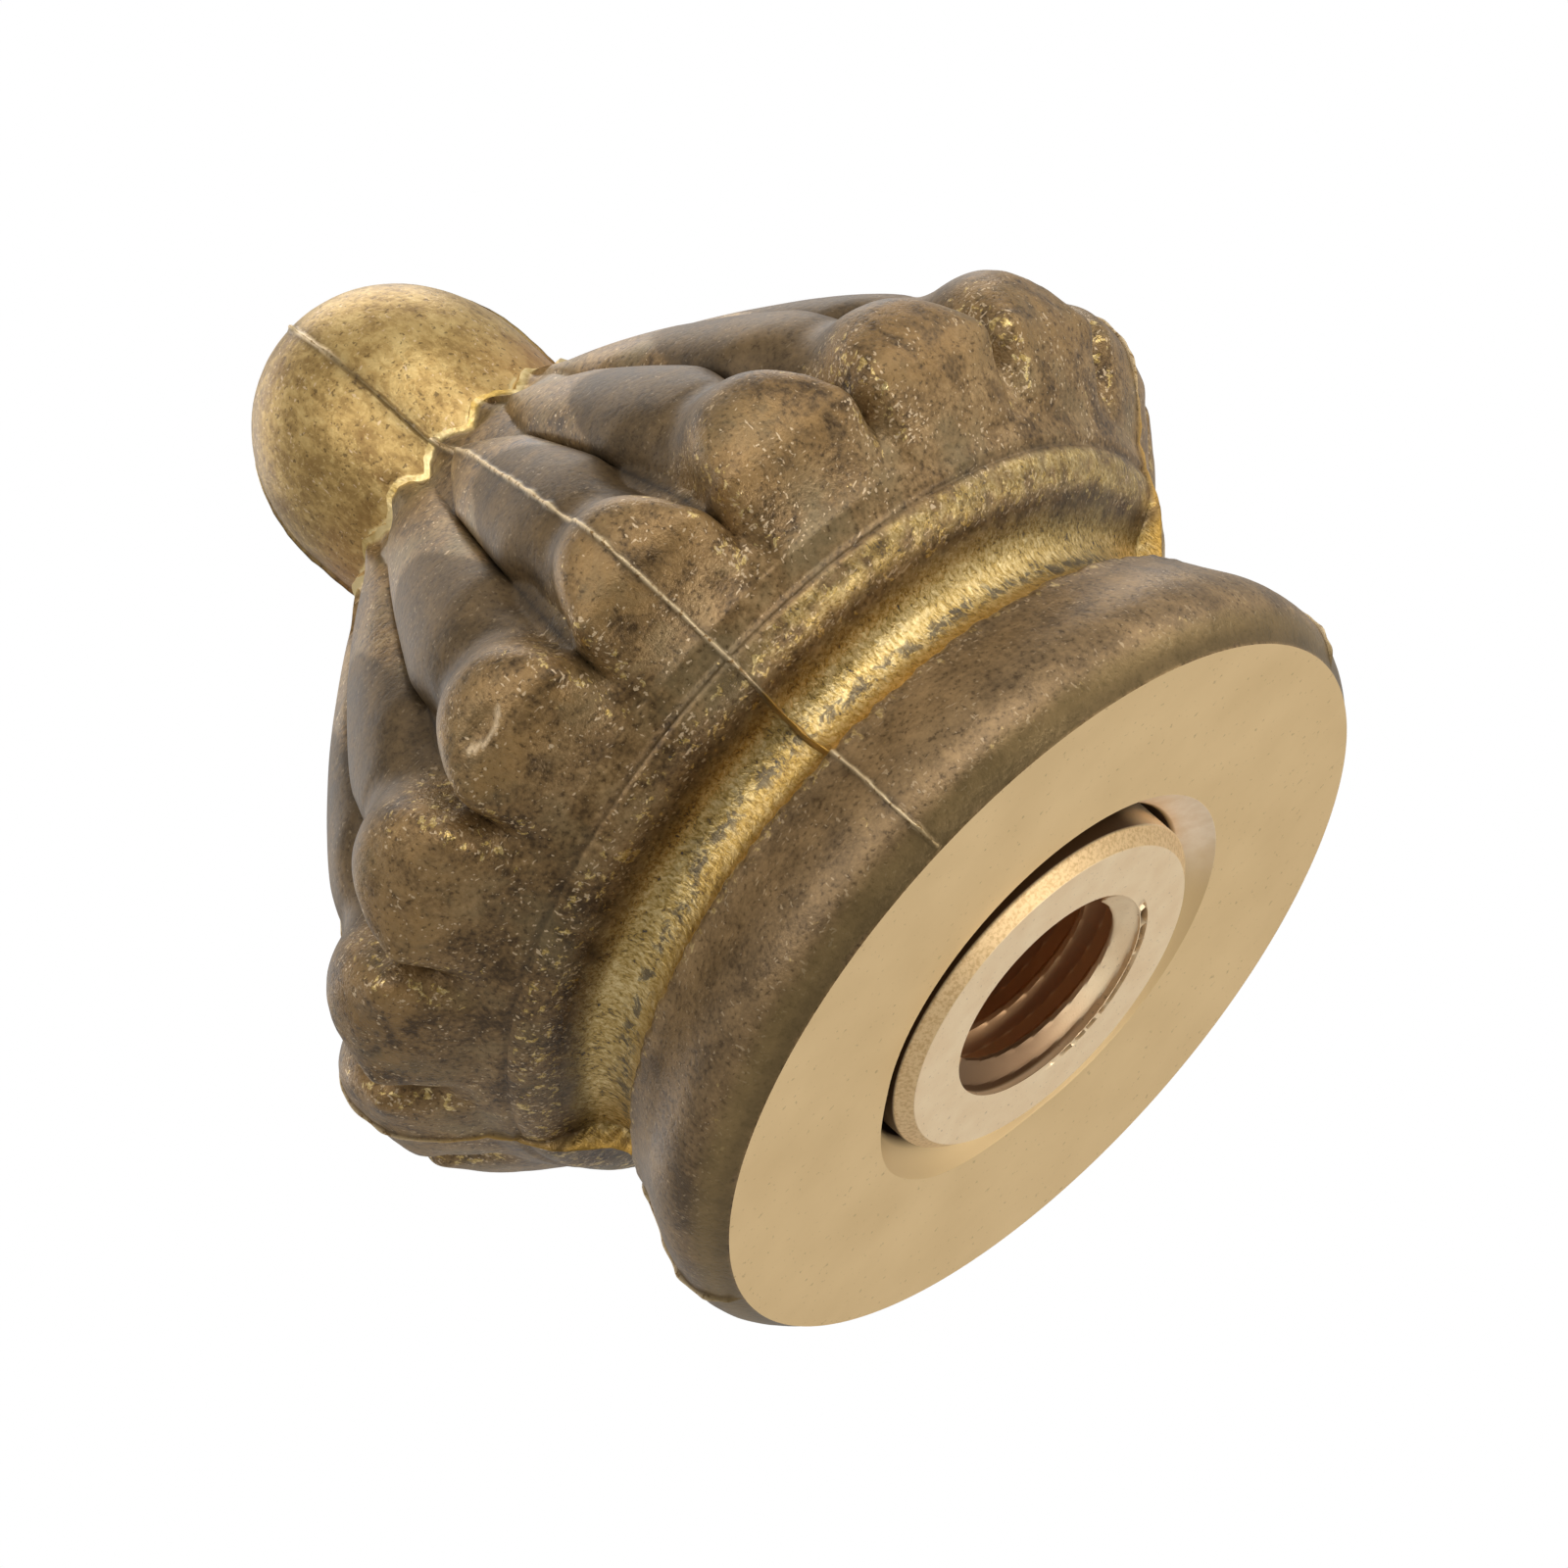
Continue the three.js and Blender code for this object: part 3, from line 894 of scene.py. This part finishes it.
def bare_metal(net, skin):
    """Bare metal's colour: streaked gold, deeper and with dull patches in the groove, light in the seam."""
    worn = net.plus(net.times(skin.mottled, 0.4), 0.6, skin.streak)
    gold = net.ramp(worn, (0.38, GROOVE_DARK), (0.46, GOLD), (0.60, GOLD_LIGHT))
    gold = net.mix(net.times(net.mask("deep"), 0.45), gold, ORANGE_GOLD)
    dull = net.plus(net.noise(0.34 * MM, 5, 0.75, 0.8), 0.11, net.mask("dull"))
    dull = net.times(net.above(dull, 0.575, 0.64), net.mask("dull"))
    gold = net.mix(net.times(dull, 0.78), gold, GROOVE_DARK)
    return net.mix(net.mask("seam"), gold, net.ramp(skin.patchy, (0.42, GOLD), (0.54, GOLD_LIGHT)))


def add_lines_shade_and_dirt(net, skin, colour):
    """The parting lines, the olive rim beside the machined face, and painted shade and grime in the recesses.
    """
    tan = net.ramp(skin.speck, (0.34, GOLDEN_BROWN), (0.47, TAN))
    parting = net.mix(net.mask("gilt"), tan, ORANGE_GOLD)
    colour = net.mix(net.mask("parting"), colour, parting)
    colour = net.mix(net.times(net.mask("olive_rim"), 0.60), colour, OLIVE_DARK)
    # painted shade and grime in the recesses
    shade_and_dirt = net.times(net.mask("shade_and_dirt"), net.ramp(skin.blotch, (0.30, 1.0), (0.70, 0.75)))
    return net.mix(shade_and_dirt, colour, SHADE_AND_SOOT)


def cast_relief(net, skin):
    """Fine relief: specks all over, streaks in the groove and pits on the coarse parts."""
    low = net.bump(skin.speck, 0.022 * MM, 0.6)
    low = net.bump(net.times(skin.streak, net.mask("groove")), 0.034 * MM, 0.8, low)
    pits = net.times(net.noise(0.060 * MM, 2, 0.6), net.mask("coarse"))
    return net.bump(pits, 0.024 * MM, 0.8, low)


def cast_material():
    net = Nodes("aged_cast_brass")
    skin = skin_noise(net)
    bare = bare_places(net)
    colour = add_flecks(net, skin, whole_skin(net, skin))
    colour = net.mix(bare, colour, bare_metal(net, skin))
    colour = add_lines_shade_and_dirt(net, skin, colour)
    shine = net.larger(bare, net.times(net.mask("ball"), 0.3))
    shine = net.larger(shine, net.times(net.mask("olive_rim"), 0.5))
    metallic = net.ramp(shine, (0.0, 0.40), (1.0, 0.90))
    rough = net.plus(net.ramp(shine, (0.0, 0.33), (1.0, 0.30)), 0.12, skin.blotch)
    rough = net.plus(rough, 0.10, net.mask("tongue"))
    return dress(net, colour, metallic, rough, cast_relief(net, skin))


def base_material():
    net = Nodes("machined_base")
    colour = net.ramp(net.noise(2.4 * MM, 3, 0.5), (0.3, FACE), (0.7, FACE_LIGHT))
    speck = net.noise(0.16 * MM, 2, 0.6)
    colour = net.mix(net.ramp(speck, (0.26, 0.5), (0.34, 0.0)), colour, FACE_SPECK)
    pale = net.ramp(net.noise(0.5 * MM, 3, 0.6), (0.35, SINK_HIGHLIGHT), (0.65, SINK_HIGHLIGHT_LIGHT))
    # the countersink, with a painted highlight on one side
    colour = net.mix(net.mask("sink"), colour, net.mix(net.mask("sink_highlight"), SINK_BRASS, pale))
    # painted shade in the gap round the insert
    colour = net.mix(net.mask("gap"), colour, GAP_SHADE)
    return dress(net, colour, 0.45, 0.5, net.bump(net.noise(0.07 * MM, 2, 0.6), 0.005 * MM, 0.4))


def insert_material():
    net = Nodes("turned_brass")
    colour = net.ramp(net.noise(0.8 * MM, 3, 0.5), (0.3, TURNED), (0.7, TURNED_LIGHT))
    speck = net.noise(0.11 * MM, 2, 0.6)
    colour = net.mix(net.ramp(speck, (0.27, 0.5), (0.36, 0.0)), colour, TURNED_SPECK)
    # painted shade down the bore
    colour = net.mix(net.mask("thread"), colour, BORE_SHADE_BRASS)
    # the dark burr, and painted shade on the outer wall and in the bore's mouth
    colour = net.mix(net.larger(net.mask("burr"), net.mask("wall")), colour, BURR_AND_SHADE_DARK)
    turned = net.ramp(net.noise(0.09 * MM, 3, 0.65), (0.36, CHAMFER_DARK), (0.56, CHAMFER_LIGHT))
    colour = net.mix(net.mask("chamfer"), colour, turned)
    return dress(net, colour, 0.65, 0.46, net.bump(net.noise(0.05 * MM, 2, 0.6), 0.006 * MM, 0.6))


def paint_casting(obj, machined_faces):
    """The cast skin, and a second material for the machined face with its countersink and socket."""
    mesh = obj.data
    mesh.materials.append(cast_material())
    mesh.materials.append(base_material())
    kinds = np.zeros(len(mesh.polygons), np.int32)
    kinds[:machined_faces] = 1
    mesh.polygons.foreach_set("material_index", kinds)


# -------- camera, floor and light
VIEW_AZIMUTH = -5.0
VIEW_ELEVATION = -22.5
VIEW_ROLL = 48.8  # how far the finial's axis leans over to the left in the picture
SENSOR_WIDTH = 36.0
FRAME_WIDTH = 3.653 * R  # width of the picture at the finial
AIM_HEIGHT = 0.817 * R
AIM_SIDE = -0.037 * R
DISTANCE = 1.2
WORLD_LIGHT = 0.44
CAMERA_SIDE = 0.35  # the share of it that comes from the camera's side
FLOOR_SIZE = 1.2
FLOOR_DROP = 0.02 * MM  # how far the floor lies under the finial
# a painted contact shadow on the floor round the base
SHADE_START, SHADE_END = 0.97 * R, 1.07 * R  # the floor turns from dark to pale between these radii
LIGHT_SIZE = 0.20
LIGHT_DISTANCE = 0.30
LIGHTS_HEIGHT = 1.1 * R  # the height over the base that the lights point at
# soft boxes: name, then picture right, picture up and towards the camera, then brightness at the object
LIGHTS = (("upper_front", 0.1, 0.8, 0.7, 1.25), ("lower_right", 0.9, -0.45, 0.35, 1.70),
          ("left_front", -0.7, 0.3, 0.7, 0.90), ("behind_up", -0.2, 0.7, -0.75, 0.85),
          ("upper_right", 0.7, 0.7, 0.0, 0.60), ("behind_left", -0.7, 0.1, -0.7, 0.60))


def build_camera():
    """The camera, and the directions towards it and to the right and the top of its picture."""
    azimuth, elevation, roll = (math.radians(v) for v in (VIEW_AZIMUTH, VIEW_ELEVATION, VIEW_ROLL))
    flat = math.cos(elevation)
    back = Vector((math.sin(azimuth) * flat, -math.cos(azimuth) * flat, math.sin(elevation)))
    right = Vector((math.cos(azimuth), math.sin(azimuth), 0))
    up = back.cross(right)
    cam_up = up * math.cos(roll) + right * math.sin(roll)
    cam_right = right * math.cos(roll) - up * math.sin(roll)
    data = bpy.data.cameras.new("camera")
    data.sensor_width = SENSOR_WIDTH
    data.lens = SENSOR_WIDTH * DISTANCE / FRAME_WIDTH
    data.clip_start, data.clip_end = 0.01, 10.0
    cam = bpy.data.objects.new("camera", data)
    aim = Vector((0, 0, BASE_Z + AIM_HEIGHT)) + right * AIM_SIDE
    turn = Matrix((cam_right, cam_up, back)).transposed().to_4x4()
    cam.matrix_world = Matrix.Translation(aim + back * DISTANCE) @ turn
    bpy.context.scene.collection.objects.link(cam)
    bpy.context.scene.camera = cam
    return back, cam_right, cam_up


def fresh_nodes(tree, *kinds):
    """New nodes of the given kinds in an emptied tree."""
    tree.nodes.clear()
    return [tree.nodes.new(kind) for kind in kinds]


def link_all(tree, *pairs):
    """Links each pair of an output and an input."""
    for source, target in pairs:
        tree.links.new(source, target)


def build_world(towards_camera):
    """White behind the object; soft light all round it, with less of it from the camera's side."""
    world = bpy.data.worlds.new("studio")
    world.use_nodes = True
    out, mix, path, seen, light, direction, facing, fade = fresh_nodes(
        world.node_tree, "ShaderNodeOutputWorld", "ShaderNodeMixShader", "ShaderNodeLightPath",
        "ShaderNodeBackground", "ShaderNodeBackground", "ShaderNodeTexCoord", "ShaderNodeVectorMath",
        "ShaderNodeMapRange")
    seen.inputs["Color"].default_value = (1, 1, 1, 1)
    light.inputs["Color"].default_value = (1, 1, 1, 1)
    facing.operation = "DOT_PRODUCT"
    facing.inputs[1].default_value = towards_camera
    fade.inputs["From Min"].default_value = 0.25
    fade.inputs["From Max"].default_value = 0.90
    fade.inputs["To Min"].default_value = WORLD_LIGHT
    fade.inputs["To Max"].default_value = WORLD_LIGHT * CAMERA_SIDE
    link_all(world.node_tree,
             (direction.outputs["Generated"], facing.inputs[0]),
             (facing.outputs["Value"], fade.inputs["Value"]),
             (fade.outputs["Result"], light.inputs["Strength"]),
             (path.outputs["Is Camera Ray"], mix.inputs[0]),
             (light.outputs[0], mix.inputs[1]),
             (seen.outputs[0], mix.inputs[2]),
             (mix.outputs[0], out.inputs[0]))
    bpy.context.scene.world = world


def floor_material():
    """Pale paper that is seen only from above, with a painted contact shadow: dark where the base hides it.
    """
    mat = bpy.data.materials.new("pale_floor")
    mat.use_nodes = True
    out, mix, side, coord, distance, beyond, colour, paper, glow, both, clear = fresh_nodes(
        mat.node_tree, "ShaderNodeOutputMaterial", "ShaderNodeMixShader", "ShaderNodeNewGeometry",
        "ShaderNodeTexCoord", "ShaderNodeVectorMath", "ShaderNodeMapRange", "ShaderNodeValToRGB",
        "ShaderNodeBsdfDiffuse", "ShaderNodeEmission", "ShaderNodeAddShader", "ShaderNodeBsdfTransparent")
    distance.operation = "LENGTH"
    beyond.inputs["From Min"].default_value = SHADE_START
    beyond.inputs["From Max"].default_value = SHADE_END
    # painted contact shadow near the base, pale paper beyond
    colour.color_ramp.elements[0].color = (0.03, 0.03, 0.03, 1)
    colour.color_ramp.elements[1].color = (0.52, 0.52, 0.515, 1)
    link_all(mat.node_tree,
             (coord.outputs["Object"], distance.inputs[0]),
             (distance.outputs["Value"], beyond.inputs["Value"]),
             (beyond.outputs["Result"], colour.inputs["Fac"]),
             (colour.outputs["Color"], paper.inputs["Color"]),
             (colour.outputs["Color"], glow.inputs["Color"]),
             (paper.outputs[0], both.inputs[0]),
             (glow.outputs[0], both.inputs[1]),
             (side.outputs["Backfacing"], mix.inputs[0]),
             (both.outputs[0], mix.inputs[1]),
             (clear.outputs[0], mix.inputs[2]),
             (mix.outputs[0], out.inputs[0]))
    return mat


def build_floor():
    """A floor that casts no light or shadow on the finial, so that the thin gap under it does not glow."""
    bpy.ops.mesh.primitive_plane_add(size=FLOOR_SIZE, location=(0, 0, cad_low.z - FLOOR_DROP))
    floor = bpy.context.object
    floor.name = "floor"
    floor.data.materials.append(floor_material())
    floor.visible_shadow = False
    floor.visible_diffuse = False
    floor.visible_glossy = False


def soft_light(name, direction, brightness, middle):
    """A square soft box seen from the object in the given direction."""
    data = bpy.data.lights.new(name, "AREA")
    data.size = LIGHT_SIZE
    data.energy = brightness * math.pi * LIGHT_DISTANCE ** 2
    lamp = bpy.data.objects.new(name, data)
    lamp.location = middle + direction.normalized() * LIGHT_DISTANCE
    lamp.rotation_euler = direction.to_track_quat("Z", "Y").to_euler()
    bpy.context.scene.collection.objects.link(lamp)
    lamp.visible_camera = False


def build_lights(towards, right, up):
    middle = Vector((0, 0, BASE_Z + LIGHTS_HEIGHT))
    for name, across, upward, forward, brightness in LIGHTS:
        soft_light(name, right * across + up * upward + towards * forward, brightness, middle)


# -------- build
towards_camera, picture_right, picture_up = build_camera()
build_world(towards_camera)
build_floor()
build_lights(towards_camera, picture_right, picture_up)
bpy.context.scene.view_settings.view_transform = "Standard"

casting, machined_faces = build_casting()
paint_casting(casting, machined_faces)
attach(casting, "root")
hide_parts("cast_body")

insert = build_insert()
insert.data.materials.append(insert_material())
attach(insert, "root")
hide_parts("threaded_insert")
